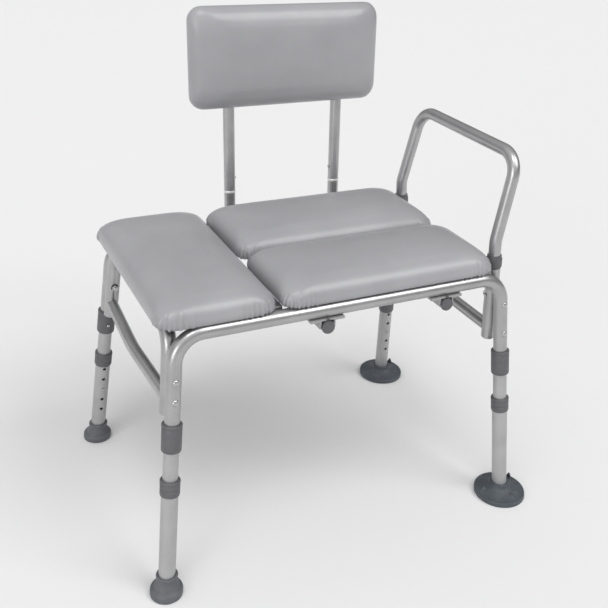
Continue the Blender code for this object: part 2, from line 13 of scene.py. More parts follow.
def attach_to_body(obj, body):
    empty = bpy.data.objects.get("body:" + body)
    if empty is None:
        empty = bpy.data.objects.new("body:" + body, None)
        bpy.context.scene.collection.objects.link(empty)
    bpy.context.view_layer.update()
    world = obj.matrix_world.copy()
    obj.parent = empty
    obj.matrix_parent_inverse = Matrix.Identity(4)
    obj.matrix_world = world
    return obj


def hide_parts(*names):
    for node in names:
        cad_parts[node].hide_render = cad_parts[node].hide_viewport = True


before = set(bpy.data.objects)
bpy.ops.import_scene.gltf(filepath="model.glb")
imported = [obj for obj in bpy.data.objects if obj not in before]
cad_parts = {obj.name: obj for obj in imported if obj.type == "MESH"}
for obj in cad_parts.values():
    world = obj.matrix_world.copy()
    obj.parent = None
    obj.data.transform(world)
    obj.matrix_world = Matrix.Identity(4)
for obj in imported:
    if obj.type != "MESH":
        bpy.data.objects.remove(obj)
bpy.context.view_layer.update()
SCENE = bpy.context.scene

# ---- dimensions shared with the CAD source ------------------------------------------------------
SHIFT_X = -0.011            # the CAD model is moved by this much so that its box is centred
HALF_WIDTH = 0.306
HALF_DEPTH = 0.185
RAIL_Z = 0.4625
SPLAY_X = 0.041
SPLAY_Y = 0.054
FRAME_R = 0.0127
GAP = 0.0003
PAD_BOTTOM = RAIL_Z + FRAME_R + GAP
PAD_CORNER = 0.029
BOARD_INSET = 0.012
BOARD_DEEP = 0.0093         # depth of the pocket that holds a pad's board
BACK_X = 0.068
BACK_HALF = 0.1165
BACK_TILT = math.radians(4.0)
BACK_TUBE_Z = 0.4351
BACK_CORNER_Y = 0.2434
BACK_RING_Z = 0.515
BRACKET = (0.063, 0.0254, 0.003)
ARM_R = 0.0111
FRAME_BEND = 0.050
SIDE_BEND = 0.045
FRAME_END = 0.158
SIDE_LEG_END = 0.142
UPPER_COLLAR = (0.147, 0.1955)
LOWER_COLLAR = (0.2475, 0.2765)
LOWER_TUBE_TOP = 0.2505
UPPER_BUTTON_AT = 0.174
LOWER_R = 0.0143
COLLAR_R = 0.0170
FOOT_BORE_R = 0.0149
SOCKET_FLOOR = 0.0065
TIP_HEIGHT = 0.038
SOCKET_Y = 0.1622
SOCKET_TOP_Z = 0.487
ARM_COLLAR_Z = (0.4725, 0.498)
ARM_COLLAR_R = 0.0145
ARM_END_Z = 0.350
ARM_BUTTON_Z = 0.418
ARM_BEND_Z = 0.525
ARM_TOP = (0.3275, 0.154, 0.677)
ARM_BEND = 0.042

CORNERS = {"front_left": (-1, -1), "front_right": (1, -1), "back_left": (-1, 1), "back_right": (1, 1)}


def corner_point(corner):
    side, face = CORNERS[corner]
    return Vector((side * HALF_WIDTH + SHIFT_X, face * HALF_DEPTH, RAIL_Z))


def leg_direction(corner):
    side, face = CORNERS[corner]
    return Vector((side * SPLAY_X, face * SPLAY_Y, -RAIL_Z)).normalized()


def leg_point(corner, station):
    return corner_point(corner) + leg_direction(corner) * station


def inward(corner):
    face = CORNERS[corner][1]
    down = leg_direction(corner)
    direct = Vector((0.0, -face, 0.0))
    return (direct - down * direct.dot(down)).normalized()


# ---- camera, floor and light --------------------------------------------------------------------
EYE = Vector((-0.6737, -1.3087, 1.1416))
YAW, PITCH, ROLL = (math.radians(value) for value in (27.01, 26.98, 3.19))
LENS = 52.25
SHIFT_Y = -0.0184
SENSOR_WIDTH = 36.0
FLOOR_TONE = 0.80
BACKDROP_TONE = 0.90
SKY_STRENGTH = 0.85
SOFT_SIDE = (-0.80, -0.40, 0.0)     # the studio is brightest on this side
SIDE_SPAN = 0.8                     # how far a direction leans to that side at either end of the swing
SIDE_SWING = (0.50, 1.25)           # the brightness of the far side and of this one
RANGE_INPUTS = ("From Min", "From Max", "To Min", "To Max")
SUNS = (                            # name, azimuth, height, strength and angle
    ("key", 40.0, 50.0, 1.05, 32.0),
    ("top_light", -35.0, 66.0, 0.65, 26.0),
    ("left_light", -58.0, 14.0, 0.60, 30.0),
)


def make_camera():
    """The camera from its place, turn, dip and roll."""
    level = math.cos(PITCH)
    ahead = Vector((math.sin(YAW) * level, math.cos(YAW) * level, -math.sin(PITCH)))
    right = Vector((math.cos(YAW), -math.sin(YAW), 0.0))
    up = right.cross(ahead)
    right, up = (right * math.cos(ROLL) + up * math.sin(ROLL), up * math.cos(ROLL) - right * math.sin(ROLL))
    data = bpy.data.cameras.new("camera")
    data.lens = LENS
    data.sensor_width = SENSOR_WIDTH
    data.shift_y = SHIFT_Y
    camera = bpy.data.objects.new("camera", data)
    camera.matrix_world = Matrix.Translation(EYE) @ Matrix((right, up, -ahead)).transposed().to_4x4()
    SCENE.collection.objects.link(camera)
    SCENE.camera = camera


def make_sun(name, azimuth, height, strength, angle):
    """A soft distant light at an azimuth round the object, 0 in front, and a height, in degrees."""
    data = bpy.data.lights.new(name, "SUN")
    data.energy = strength
    data.angle = math.radians(angle)
    lamp = bpy.data.objects.new(name, data)
    around, above = math.radians(azimuth), math.radians(height)
    level = math.cos(above)
    towards = Vector((math.sin(around) * level, -math.cos(around) * level, math.sin(above)))
    lamp.rotation_mode = "QUATERNION"
    lamp.rotation_quaternion = towards.to_track_quat("Z", "Y")
    SCENE.collection.objects.link(lamp)


def make_floor():
    """A plain pale disc just under the feet."""
    mesh = bpy.data.meshes.new("floor")
    work = bmesh.new()
    bmesh.ops.create_circle(work, cap_ends=True, segments=96, radius=30.0)
    work.to_mesh(mesh)
    work.free()
    floor = bpy.data.objects.new("floor", mesh)
    floor.location.z = -0.0005
    SCENE.collection.objects.link(floor)
    paint = bpy.data.materials.new("floor_paint")
    paint.use_nodes = True
    shader = paint.node_tree.nodes["Principled BSDF"]
    shader.inputs["Base Color"].default_value = (FLOOR_TONE, FLOOR_TONE, FLOOR_TONE, 1.0)
    shader.inputs["Roughness"].default_value = 0.9
    shader.inputs["Specular IOR Level"].default_value = 0.1
    floor.data.materials.append(paint)


def make_world():
    """Soft light that rises from below to above and from one side to the other, behind a plain backdrop."""
    world = bpy.data.worlds.new("studio")
    SCENE.world = world
    world.use_nodes = True
    nodes, links = world.node_tree.nodes, world.node_tree.links
    nodes.clear()
    out = nodes.new("ShaderNodeOutputWorld")
    place = nodes.new("ShaderNodeTexCoord")
    split = nodes.new("ShaderNodeSeparateXYZ")
    ramp = nodes.new("ShaderNodeValToRGB")
    sides = nodes.new("ShaderNodeVectorMath")
    sides.operation = "DOT_PRODUCT"
    sides.inputs[1].default_value = SOFT_SIDE
    swing = nodes.new("ShaderNodeMapRange")
    for key, number in zip(RANGE_INPUTS, (-SIDE_SPAN, SIDE_SPAN, *SIDE_SWING)):
        swing.inputs[key].default_value = number
    tinted = nodes.new("ShaderNodeVectorMath")
    tinted.operation = "SCALE"
    sky = nodes.new("ShaderNodeBackground")
    backdrop = nodes.new("ShaderNodeBackground")
    path = nodes.new("ShaderNodeLightPath")
    mix = nodes.new("ShaderNodeMixShader")
    stops = ramp.color_ramp.elements
    stops[0].position, stops[0].color = 0.0, (0.45, 0.45, 0.455, 1.0)
    stops[1].position, stops[1].color = 1.0, (1.0, 1.0, 1.0, 1.0)
    low = stops.new(0.30)
    low.color = (0.52, 0.52, 0.525, 1.0)
    high = stops.new(0.66)
    high.color = (0.85, 0.85, 0.85, 1.0)
    sky.inputs["Strength"].default_value = SKY_STRENGTH
    backdrop.inputs["Color"].default_value = (BACKDROP_TONE, BACKDROP_TONE, BACKDROP_TONE, 1.0)
    links.new(place.outputs["Generated"], split.inputs["Vector"])
    links.new(split.outputs["Z"], ramp.inputs["Fac"])
    links.new(place.outputs["Generated"], sides.inputs[0])
    links.new(sides.outputs["Value"], swing.inputs["Value"])
    links.new(ramp.outputs["Color"], tinted.inputs[0])
    links.new(swing.outputs["Result"], tinted.inputs["Scale"])
    links.new(tinted.outputs["Vector"], sky.inputs["Color"])
    links.new(path.outputs["Is Camera Ray"], mix.inputs["Fac"])
    links.new(sky.outputs["Background"], mix.inputs[1])
    links.new(backdrop.outputs["Background"], mix.inputs[2])
    links.new(mix.outputs["Shader"], out.inputs["Surface"])


def make_studio():
    make_floor()
    make_world()
    for sun in SUNS:
        make_sun(*sun)
    SCENE.view_settings.view_transform = "Standard"


# ---- materials ----------------------------------------------------------------------------------
NOISE_SPAN = (0.3, 0.7)     # the part of a noise's range that a tone or a roughness is spread over


class Finish:
    """A small builder for one procedural material."""

    def __init__(self, name, roughness, metallic=0.0, specular=0.5):
        self.material = bpy.data.materials.new(name)
        self.material.use_nodes = True
        self.nodes = self.material.node_tree.nodes
        self.links = self.material.node_tree.links
        self.shader = self.nodes["Principled BSDF"]
        self.shader.inputs["Roughness"].default_value = roughness
        self.shader.inputs["Metallic"].default_value = metallic
        self.shader.inputs["Specular IOR Level"].default_value = specular
        self.place = self.nodes.new("ShaderNodeTexCoord").outputs["Object"]
        self.height = None

    def noise(self, scale, detail):
        node = self.nodes.new("ShaderNodeTexNoise")
        node.inputs["Scale"].default_value = scale
        node.inputs["Detail"].default_value = detail
        self.links.new(self.place, node.inputs["Vector"])
        return node.outputs["Fac"]

    def cells(self, scale):
        """The furrows between the cells of a leather grain."""
        node = self.nodes.new("ShaderNodeTexVoronoi")
        node.feature = "DISTANCE_TO_EDGE"
        node.inputs["Scale"].default_value = scale
        self.links.new(self.place, node.inputs["Vector"])
        return node.outputs["Distance"]

    def tone(self, value, dark, light):
        """Colour the surface between two colours by a value."""
        node = self.nodes.new("ShaderNodeValToRGB")
        first, last = node.color_ramp.elements
        first.position, first.color = NOISE_SPAN[0], (*dark, 1.0)
        last.position, last.color = NOISE_SPAN[1], (*light, 1.0)
        self.links.new(value, node.inputs["Fac"])
        self.links.new(node.outputs["Color"], self.shader.inputs["Base Color"])

    def rough(self, value, low, high):
        """Move the roughness between two numbers by a value."""
        node = self.nodes.new("ShaderNodeMapRange")
        for key, number in zip(RANGE_INPUTS, (*NOISE_SPAN, low, high)):
            node.inputs[key].default_value = number
        self.links.new(value, node.inputs["Value"])
        self.links.new(node.outputs["Result"], self.shader.inputs["Roughness"])

    def bump(self, value, distance, strength):
        """Add a relief on top of those already there."""
        node = self.nodes.new("ShaderNodeBump")
        node.inputs["Strength"].default_value = strength
        node.inputs["Distance"].default_value = distance
        self.links.new(value, node.inputs["Height"])
        if self.height:
            self.links.new(self.height, node.inputs["Normal"])
        self.height = node.outputs["Normal"]
        self.links.new(self.height, self.shader.inputs["Normal"])


def make_aluminium(name, dark, light, low, high, metallic):
    """Satin anodised tube: a fine etched grain and soft handling marks."""
    f = Finish(name, 0.35, metallic=metallic)
    f.tone(f.noise(24.0, 4.0), dark, light)
    f.rough(f.noise(90.0, 5.0), low, high)
    f.bump(f.noise(700.0, 2.0), 0.00002, 0.05)
    return f.material


def make_vinyl():
    """Upholstery vinyl: a fine leather grain, slightly uneven colour and gloss."""
    f = Finish("grey_vinyl", 0.42, specular=0.45)
    f.tone(f.noise(9.0, 3.0), (0.318, 0.318, 0.334), (0.358, 0.358, 0.374))
    f.rough(f.noise(140.0, 4.0), 0.28, 0.37)
    f.bump(f.cells(1150.0), 0.00009, 0.30)
    f.bump(f.noise(420.0, 4.0), 0.00012, 0.25)
    f.shader.inputs["Coat Weight"].default_value = 0.20
    f.shader.inputs["Coat Roughness"].default_value = 0.22
    return f.material


def make_plastic(name, dark, light, low, high, grain=1500.0):
    """Moulded plastic or rubber with a fine sparked grain."""
    f = Finish(name, 0.5)
    f.tone(f.noise(60.0, 4.0), dark, light)
    f.rough(f.noise(200.0, 3.0), low, high)
    f.bump(f.noise(grain, 3.0), 0.00008, 0.35)
    return f.material


def make_board():
    """Dark fibreboard: speckled fibres, dull."""
    f = Finish("fibreboard", 0.8, specular=0.3)
    f.tone(f.noise(900.0, 6.0), (0.050, 0.046, 0.042), (0.105, 0.095, 0.085))
    f.rough(f.noise(60.0, 3.0), 0.70, 0.88)
    f.bump(f.noise(1200.0, 4.0), 0.00015, 0.5)
    return f.material


def make_steel(name, dark, light, low, high):
    """Turned or pressed steel, slightly uneven in colour and gloss."""
    f = Finish(name, 0.25, metallic=1.0)
    f.tone(f.noise(120.0, 4.0), dark, light)
    f.rough(f.noise(500.0, 3.0), low, high)
    f.bump(f.noise(3000.0, 2.0), 0.00004, 0.3)
    return f.material


ALUMINIUM = make_aluminium("satin_aluminium", (0.41, 0.41, 0.415), (0.47, 0.47, 0.475), 0.27, 0.34, 0.86)
PALE_ALUMINIUM = make_aluminium("matt_aluminium", (0.43, 0.43, 0.435), (0.48, 0.48, 0.485), 0.38, 0.46, 0.72)
PRESSED_PLATE = make_aluminium("pressed_plate", (0.36, 0.36, 0.365), (0.42, 0.42, 0.425), 0.38, 0.48, 0.35)
RING_METAL = make_aluminium("ring_metal", (0.74, 0.74, 0.74), (0.84, 0.84, 0.84), 0.30, 0.40, 0.45)
STEEL = make_steel("bright_steel", (0.46, 0.46, 0.46), (0.58, 0.58, 0.57), 0.20, 0.32)
DARK_STEEL = make_steel("dark_steel", (0.10, 0.10, 0.10), (0.20, 0.19, 0.18), 0.30, 0.45)
VINYL = make_vinyl()
COLLAR_GREY = make_plastic("collar_plastic", (0.094, 0.094, 0.102), (0.118, 0.118, 0.127), 0.40, 0.52)
CUP_GREY = make_plastic("cup_rubber", (0.054, 0.064, 0.076), (0.076, 0.088, 0.102), 0.42, 0.56, 900.0)
TIP_GREY = make_plastic("tip_rubber", (0.096, 0.100, 0.112), (0.124, 0.128, 0.141), 0.50, 0.64, 900.0)
BOARD = make_board()

NODE_FINISH = (
    ("rubber_tip", TIP_GREY),
    ("suction_cup", CUP_GREY),
    ("upper_collar", COLLAR_GREY),
    ("lower_collar", COLLAR_GREY),
    ("arm_collar", COLLAR_GREY),
    ("tube_plug", COLLAR_GREY),
    ("lower_leg_tube", PALE_ALUMINIUM),
    ("inner_leg_tube", PALE_ALUMINIUM),
    ("height_button", STEEL),
    ("collar_button", STEEL),
    ("arm_button", STEEL),
    ("backrest_button", STEEL),
    ("seat_board", BOARD),
    ("backrest_board", BOARD),
    ("cushion", VINYL),
)


def dress_nodes():
    """Give every CAD node the finish of its kind; the rest is frame tube."""
    for name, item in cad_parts.items():
        finish = next((paint for word, paint in NODE_FINISH if word in name), ALUMINIUM)
        item.data.materials.clear()
        item.data.materials.append(finish)


# ---- cushions -----------------------------------------------------------------------------------
PAD_VOXEL = 0.0045
PAD_INSET = 0.0020          # a pad starts this much inside its cushion's sides
PAD_HEADROOM = 0.004        # and this much under its top
PAD_WAIST = 0.0060          # height of a pad's widest line
PAD_ROLL = 0.046            # how far in from its side the top levels out
BACK_ROLL = 0.052
PAD_FULLNESS = 2.25         # 2 is an ellipse, more is squarer
PAD_SOFT_CORNER = 0.027
CORNER_GROWTH = 0.45        # how much rounder the corner gets with each step in
CORNER_STEPS = 12
ROLL_STEPS = 10
HELD_BELOW = 0.0035         # the underside and the board's pocket, which don't swell
SWELL_FRAMES = 20
SWELL_PRESSURE = 4.0
SWELL_CAP = 0.0065          # how far any point may move
SWELL_OUTWARD = 0.0015      # how far it may move sideways
EVEN_ROUNDS = 40
PLEAT_PITCH = 0.0094
PLEAT_WAVE = 0.021          # the slower wave that makes the folds unequal
PLEAT_REACH = (0.074, 0.038)        # how far the folds run from a corner along the front or back, and a side
PLEAT_RISE = 0.025
PLEAT_BAND = (0.0005, 0.036)        # the heights between which the cover is gathered
PLEAT_EDGE = -0.024         # how far in from the pad's side it is gathered
PLEAT_FLOOR = 0.0004
SEAT_PLEATS = 0.0027        # how deep the folds are
BACK_PLEATS = 0.0002


def outline(half_x, half_y, radius):
    """Points round a rounded rectangle, anticlockwise, the same number whatever its size."""
    points = []
    for sx, sy, start in ((1, -1, -90), (1, 1, 0), (-1, 1, 90), (-1, -1, 180)):
        for step in range(CORNER_STEPS + 1):
            angle = math.radians(start + 90.0 * step / CORNER_STEPS)
            points.append((sx * (half_x - radius) + radius * math.cos(angle),
                           sy * (half_y - radius) + radius * math.sin(angle)))
    return points


def pad_shell(width, depth, thick, roll):
    """The pad before it swells: flat below with a pocket for its board, then one long roll to its top."""
    half_x, half_y = width / 2, depth / 2
    pocket = [(BOARD_INSET + 0.030, BOARD_DEEP), (BOARD_INSET, BOARD_DEEP), (BOARD_INSET, 0.0)]
    profile = pocket + [(PAD_INSET + 0.0034, 0.0), (PAD_INSET + 0.0009, 0.0018), (PAD_INSET, PAD_WAIST)]
    for step in range(1, ROLL_STEPS + 1):
        angle = math.pi / 2 * step / ROLL_STEPS
        profile.append((PAD_INSET + roll * (1.0 - math.cos(angle) ** (2.0 / PAD_FULLNESS)),
                        PAD_WAIST + (thick - PAD_WAIST) * math.sin(angle) ** (2.0 / PAD_FULLNESS)))
    profile.append((PAD_INSET + roll + 0.016, thick + 0.0005))
    work = bmesh.new()
    rings = []
    for index, (cut, height) in enumerate(profile):
        radius = PAD_SOFT_CORNER + CORNER_GROWTH * (cut - PAD_INSET)
        if index < len(pocket):
            radius = max(PAD_CORNER - cut, 0.004)
        ring = outline(half_x - cut, half_y - cut, radius)
        rings.append([work.verts.new((x, y, height)) for x, y in ring])
    work.faces.new(list(reversed(rings[0])))
    work.faces.new(rings[-1])
    for low, high in zip(rings, rings[1:]):
        count = len(low)
        for i in range(count):
            work.faces.new((low[i], low[(i + 1) % count], high[(i + 1) % count], high[i]))
    bmesh.ops.recalc_face_normals(work, faces=work.faces)
    mesh = bpy.data.meshes.new("pad_shell")
    work.to_mesh(mesh)
    work.free()
    return mesh


def perimeter_place(x, y, half_x, half_y, radius):
    """How far a side point lies along the pad's edge from its corner's middle, and the corner's signs."""
    sx, sy = (1 if x > 0 else -1), (1 if y > 0 else -1)
    ax, ay = abs(x) - (half_x - radius), abs(y) - (half_y - radius)
    quarter = math.pi * radius / 4
    if ax > 0 and ay > 0:
        along = (math.atan2(ay, ax) - math.pi / 4) * radius
    elif ay > ax:
        along = quarter - ax
    else:
        along = -(quarter - ay)
    return along, sx, sy


def freeze(item):
    """Apply all modifiers and keep plain mesh data."""
    evaluated = item.evaluated_get(bpy.context.evaluated_depsgraph_get())
    mesh = bpy.data.meshes.new_from_object(evaluated)
    item.modifiers.clear()
    item.data = mesh
    return item


def even_out(mesh, move, pins):
    """Spread each point's movement over its neighbours, so that the cover stays taut."""
    pairs = np.array([edge.vertices[:] for edge in mesh.edges])
    count = np.bincount(pairs.ravel(), minlength=len(move))[:, None]
    for _ in range(EVEN_ROUNDS):
        total = np.zeros_like(move)
        for axis in range(3):
            total[:, axis] = np.bincount(pairs[:, 0], move[pairs[:, 1], axis], len(move))
            total[:, axis] += np.bincount(pairs[:, 1], move[pairs[:, 0], axis], len(move))
        move = 0.4 * move + 0.6 * total / count
        move[pins] = 0.0
    return move


def swell(item, pins):
    """Blow the pad up with Blender's cloth, its underside held, and limit how far any point may go."""
    start = np.array([v.co for v in item.data.vertices])
    group = item.vertex_groups.new(name="held")
    group.add([int(i) for i in np.nonzero(pins)[0]], 1.0, "REPLACE")
    cloth = item.modifiers.new("cloth", "CLOTH")
    settings = cloth.settings
    settings.quality = 5
    settings.mass = 0.25
    settings.tension_stiffness = 12.0
    settings.compression_stiffness = 12.0
    settings.shear_stiffness = 5.0
    settings.bending_stiffness = 6.0
    settings.tension_damping = 12.0
    settings.air_damping = 2.0
    settings.use_pressure = True
    settings.uniform_pressure_force = SWELL_PRESSURE
    settings.vertex_group_mass = "held"
    settings.effector_weights.gravity = 0.0
    cloth.collision_settings.use_self_collision = False
    cloth.point_cache.frame_start = 1
    cloth.point_cache.frame_end = SWELL_FRAMES
    for moment in range(1, SWELL_FRAMES + 1):
        SCENE.frame_set(moment)
    freeze(item)
    SCENE.frame_set(1)
    end = np.array([v.co for v in item.data.vertices])
    move = end - start
    far = np.linalg.norm(move, axis=1, keepdims=True)
    move *= np.minimum(1.0, SWELL_CAP / np.maximum(far, 1e-9))
    span = np.abs(start).max(axis=0)
    cornered = np.abs(start[:, 0]) / span[0] * np.abs(start[:, 1]) / span[1]
    near_corner = np.clip((cornered - 0.35) / 0.55, 0.0, 1.0)
    move[:, 2] = np.maximum(move[:, 2], 0.0) * (1.0 - 0.85 * near_corner)
    for axis in range(2):
        outward = np.maximum(move[:, axis] * np.sign(start[:, axis]), 0.0)
        move[:, axis] = np.minimum(outward, SWELL_OUTWARD) * np.sign(start[:, axis])
    move = even_out(item.data, move, pins)
    item.data.vertices.foreach_set("co", (start + move).astype(np.float32).ravel())
    item.vertex_groups.clear()


def make_pad(name, node, width, depth, thick, place, body, seed, pleats, roll=PAD_ROLL):
    """One cushion: remeshed shell, swelled, subdivided, then gathered at the corners of its lower edge."""
    shell = bpy.data.objects.new(name, pad_shell(width, depth, thick - PAD_HEADROOM, roll))
    SCENE.collection.objects.link(shell)
    remesh = shell.modifiers.new("remesh", "REMESH")
    remesh.mode = "VOXEL"
    remesh.voxel_size = PAD_VOXEL
    even = shell.modifiers.new("even", "SMOOTH")
    even.factor = 0.5
    even.iterations = 3
    pad = freeze(shell)
    co = np.array([v.co for v in pad.data.vertices])
    held = (co[:, 2] < HELD_BELOW) | ((np.abs(co[:, 0]) < width / 2 - BOARD_INSET + 0.002)
                                     & (np.abs(co[:, 1]) < depth / 2 - BOARD_INSET + 0.002)
                                     & (co[:, 2] < BOARD_DEEP + 0.003))
    swell(pad, held)
    divide = pad.modifiers.new("divide", "SUBSURF")
    divide.levels = 1
    divide.render_levels = 1
    freeze(pad)
    gather(pad, width, depth, seed, pleats)
    pad.data.materials.clear()
    pad.data.materials.append(VINYL)
    pad.data.shade_smooth()
    pad.matrix_world = place
    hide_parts(node)
    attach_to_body(pad, body)


def gather(pad, width, depth, seed, pleats):
    """Press the folds of the cover into the lower side band near the corners."""
    rng = np.random.default_rng(seed)
    waves = {(sx, sy): (rng.uniform(0.0, 6.28, 3), rng.uniform(0.9, 1.15, 3))
             for sx in (1, -1) for sy in (1, -1)}
    mesh = pad.data
    co = np.array([v.co for v in mesh.vertices])
    normals = np.array([v.normal for v in mesh.vertices])
    half_x, half_y = width / 2, depth / 2
    for i, (x, y, z) in enumerate(co):
        if not PLEAT_BAND[0] < z < PLEAT_BAND[1] or max(abs(x) - half_x, abs(y) - half_y) < PLEAT_EDGE:
            continue
        along, sx, sy = perimeter_place(x, y, half_x, half_y, PAD_SOFT_CORNER)
        phases, rates = waves[(sx, sy)]
        reach = PLEAT_REACH[0] if along > 0 else PLEAT_REACH[1]
        window = max(0.0, 1.0 - (abs(along) / reach) ** 2)
        rise = PLEAT_RISE * (0.80 + 0.20 * math.sin(along * 230.0 + phases[2]))
        height = max(0.0, 1.0 - (z / rise - 0.30) ** 2 / 0.9) ** 1.2
        fold = math.sin(math.pi * along / PLEAT_PITCH * rates[0] + phases[0])
        slow = math.sin(2 * math.pi * along / PLEAT_WAVE * rates[1] + phases[1])
        fold = 0.75 * (1.0 - 2.0 * abs(fold) ** 1.4) + 0.25 * slow
        co[i] += normals[i] * pleats * window * height * fold
        co[i, 2] = max(co[i, 2], min(z, PLEAT_FLOOR))
    mesh.vertices.foreach_set("co", co.astype(np.float32).ravel())
    mesh.update()


SEAT_PADS = {               # lowest and highest x and y, before the shift
    "transfer": (-0.338, -0.1335, -0.199, 0.199),
    "front": (-0.1275, 0.288, -0.199, -0.0085),
    "back": (-0.1275, 0.288, -0.0025, 0.199),
}
PAD_THICK = 0.046
BACK_PAD = (0.396, 0.192)   # width and height
BACK_PAD_X = 0.061
BACK_PAD_Z = 0.777


def back_axis(x, z):
    """A point on the plane of the backrest posts' axes."""
    return Vector((x + SHIFT_X, BACK_CORNER_Y + (z - BACK_TUBE_Z) * math.tan(BACK_TILT), z))


def make_pads():
    """The three seat pads and the backrest pad, which faces forwards and leans back."""
    for seed, (name, (low_x, high_x, low_y, high_y)) in enumerate(SEAT_PADS.items()):
        centre = Vector(((low_x + high_x) / 2 + SHIFT_X, (low_y + high_y) / 2, PAD_BOTTOM))
        make_pad(name + "_seat_pad", name + "_seat_cushion", high_x - low_x, high_y - low_y, PAD_THICK,
                 Matrix.Translation(centre), "frame", 11 + seed, SEAT_PLEATS)
    face = Vector((0.0, -math.cos(BACK_TILT), math.sin(BACK_TILT)))
    across = Vector((1.0, 0.0, 0.0))
    tilt = Matrix((across, face.cross(across), face)).transposed().to_4x4()
    behind = back_axis(BACK_PAD_X, BACK_PAD_Z) + face * (ARM_R + GAP)
    make_pad("backrest_pad", "backrest_cushion", *BACK_PAD, PAD_THICK, Matrix.Translation(behind) @ tilt,
             "backrest", 21, BACK_PLEATS, BACK_ROLL)


# ---- turned, bent and pressed pieces ------------------------------------------------------------
TUBE_SIDES = 48
TURN_SIDES = 64
BEND_STEPS = 18
TUBE_EDGE = 0.0012          # how much a tube's end is rounded
HOLE_R = 0.0034             # of a snap button's hole
HOLE_REACH = 0.030
SHARP_ANGLE = 35.0


def add_piece(name, work, finish, place=None, sharp=SHARP_ANGLE):
    """Turn a bmesh into a shown object with smooth faces and crisp edges."""
    bmesh.ops.recalc_face_normals(work, faces=work.faces)
    mesh = bpy.data.meshes.new(name)
    work.to_mesh(mesh)
    work.free()
    mesh.shade_smooth()
    mesh.set_sharp_from_angle(angle=math.radians(sharp))
    mesh.materials.append(finish)
    item = bpy.data.objects.new(name, mesh)
    SCENE.collection.objects.link(item)
    if place is not None:
        item.matrix_world = place
    return item


def attach(item, body, slot, *nodes):
    """Give a piece its body and hide the CAD nodes it stands for; its slot is not used."""
    if nodes:
        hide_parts(*nodes)
    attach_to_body(item, body)


def standing(origin, up, facing=(1.0, 0.0, 0.0)):
    """The transform that puts Z along up and X towards facing at a point."""
    up = Vector(up).normalized()
    facing = Vector(facing)
    side = (facing - up * facing.dot(up)).normalized()
    return Matrix.Translation(origin) @ Matrix((side, up.cross(side), up)).transposed().to_4x4()


def across_from(facing):
    """A direction square enough to facing: up, or +X where facing is upright itself."""
    return (0.0, 0.0, 1.0) if abs(Vector(facing).normalized().z) < 0.9 else (1.0, 0.0, 0.0)


def turn(work, profile, sides, shape=None):
    """Add a body turned about Z from (radius, height) points to a bmesh; shape may move each point."""
    rings = []
    for radius, height in profile:
        count = sides if radius > 0.0 else 1
        ring = []
        for i in range(count):
            angle = 2.0 * math.pi * i / sides
            point = Vector((radius * math.cos(angle), radius * math.sin(angle), height))
            if shape:
                point = shape(point, angle)
            ring.append(work.verts.new(point))
        rings.append(ring)
    pairs = list(zip(rings, rings[1:]))
    if profile[0][0] > 0.0 and profile[-1][0] > 0.0:
        pairs.append((rings[-1], rings[0]))
    for one, two in pairs:
        if len(one) == 1 and len(two) == 1:
            continue
        for i in range(sides):
            j = (i + 1) % sides
            corners = [one[i % len(one)], one[j % len(one)], two[j % len(two)], two[i % len(two)]]
            work.faces.new([v for k, v in enumerate(corners) if v not in corners[:k]])
    return work


def extrude(work, rings):
    """Add a closed prism between two matching outlines to a bmesh."""
    one, two = ([work.verts.new(point) for point in ring] for ring in rings)
    work.faces.new(list(reversed(one)))
    work.faces.new(two)
    count = len(one)
    for i in range(count):
        j = (i + 1) % count
        work.faces.new((one[i], one[j], two[j], two[i]))


def turned(name, profile, finish, place, sides=TURN_SIDES, shape=None):
    return add_piece(name, turn(bmesh.new(), profile, sides, shape), finish, place)


def rounded_path(corners, radius):
    """The polyline through corners with each inner corner turned into an arc."""
    points = [Vector(corners[0])]
    for before, corner, after in zip(corners, corners[1:], corners[2:]):
        corner = Vector(corner)
        back = (Vector(before) - corner).normalized()
        ahead = (Vector(after) - corner).normalized()
        half = back.angle(ahead) / 2
        centre = corner + (back + ahead).normalized() * radius / math.sin(half)
        arm = corner + back * radius / math.tan(half) - centre
        axis = back.cross(ahead).normalized()
        for step in range(BEND_STEPS + 1):
            points.append(centre + Quaternion(axis, -(math.pi - 2 * half) * step / BEND_STEPS) @ arm)
    points.append(Vector(corners[-1]))
    return points


def bent_tube(name, points, radius, finish):
    """A round bar along a path, its two ends slightly rounded."""
    work = bmesh.new()
    points = [Vector(p) for p in points]
    first, last = (points[1] - points[0]).normalized(), (points[-1] - points[-2]).normalized()
    path = [(points[0], radius - TUBE_EDGE), (points[0] + first * TUBE_EDGE, radius)]
    path += [(point, radius) for point in points[1:-1]]
    path += [(points[-1] - last * TUBE_EDGE, radius), (points[-1], radius - TUBE_EDGE)]
    ways = [(b[0] - a[0]).normalized() for a, b in zip(path, path[1:])]
    across = ways[0].orthogonal().normalized()
    rings = []
    for index, (point, size) in enumerate(path):
        way = (ways[max(index - 1, 0)] + ways[min(index, len(ways) - 1)]).normalized()
        across = (across - way * across.dot(way)).normalized()
        side = way.cross(across)
        ring = []
        for i in range(TUBE_SIDES):
            angle = 2.0 * math.pi * i / TUBE_SIDES
            ring.append(work.verts.new(point + (across * math.cos(angle) + side * math.sin(angle)) * size))
        rings.append(ring)
    work.faces.new(list(reversed(rings[0])))
    work.faces.new(rings[-1])
    for low, high in zip(rings, rings[1:]):
        for i in range(TUBE_SIDES):
            j = (i + 1) % TUBE_SIDES
            work.faces.new((low[i], low[j], high[j], high[i]))
    return add_piece(name, work, finish)


